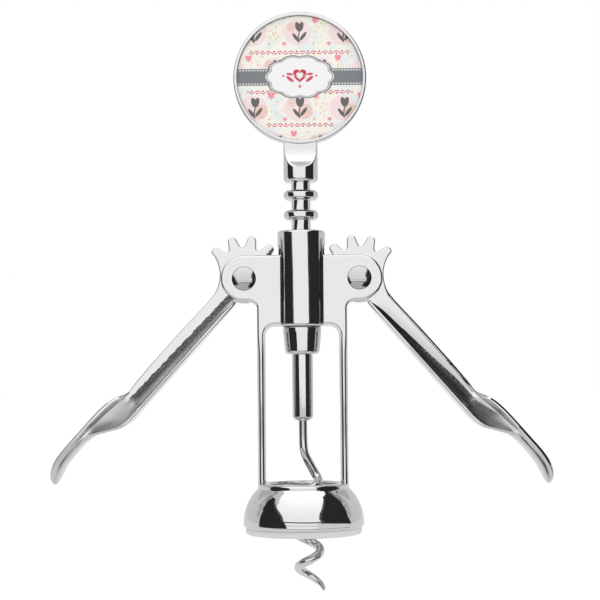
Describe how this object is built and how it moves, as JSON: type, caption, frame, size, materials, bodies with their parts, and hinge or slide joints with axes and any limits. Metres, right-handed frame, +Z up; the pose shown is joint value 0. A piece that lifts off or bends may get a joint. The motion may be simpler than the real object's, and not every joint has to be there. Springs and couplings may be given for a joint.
{
  "type": "lever corkscrew",
  "caption": "Wing corkscrew with a bell that sits on a bottle, two geared levers, a ringed spindle and a round handle with a printed face.",
  "frame": {"origin": "centre of the ledge inside the bell, in the plane where the bottle's lip comes to rest", "axes": "+Z up along the worm towards the handle, X from lever to lever, -Y towards the printed face"},
  "size_m": [0.1632, 0.0392, 0.1883],
  "materials": {
    "frame_chrome": "bright plate over a die casting",
    "lever_chrome": "bright plate over a die casting",
    "spindle_chrome": "bright plate",
    "handle_chrome": "bright plate over a die casting",
    "ferrule_steel": "bright nickel plate, turned",
    "worm_steel": "nickel-plated wire",
    "rivet_steel": "bright nickel plate",
    "insert_plastic": "pale grey, slightly clear",
    "bush_plastic": "natural white",
    "printed_face": "satin lacquered sheet with a pastel print",
    "adhesive": "white foam tape"
  },
  "bodies": {
    "frame": {"frame_casting": "frame_chrome", "bell_insert": "insert_plastic", "rivet_left": "rivet_steel", "rivet_right": "rivet_steel"},
    "bush": {"guide_bush": "bush_plastic"},
    "spindle": {"rack_spindle": "spindle_chrome", "worm_ferrule": "ferrule_steel", "worm": "worm_steel", "handle_casting": "handle_chrome", "print_disc": "printed_face", "adhesive_pad": "adhesive"},
    "left_lever": {"lever_left": "lever_chrome"},
    "right_lever": {"lever_right": "lever_chrome"}
  },
  "joints": [
    {"name": "handle_spin", "type": "hinge", "parent": "frame", "child": "bush", "pos_m": [0, 0, 0.086], "axis": [0, 0, 1], "continuous": true},
    {"name": "rack_slide", "type": "slide", "parent": "bush", "child": "spindle", "axis": [0, 0, 1], "range_m": [-0.02437, 0.00857]},
    {"name": "lever_right_pivot", "type": "hinge", "parent": "frame", "child": "right_lever", "pos_m": [0.01868, 0, 0.0735], "axis": [0, -1, 0], "range_deg": [-38, 108]},
    {"name": "lever_left_pivot", "type": "hinge", "parent": "frame", "child": "left_lever", "pos_m": [-0.01868, 0, 0.0735], "axis": [0, 1, 0], "range_deg": [-38, 108]}
  ],
  "couplings": [
    {"joint": "lever_right_pivot", "follows": "rack_slide", "rad_per_m": -77.332},
    {"joint": "lever_left_pivot", "follows": "rack_slide", "rad_per_m": -77.332}
  ]
}
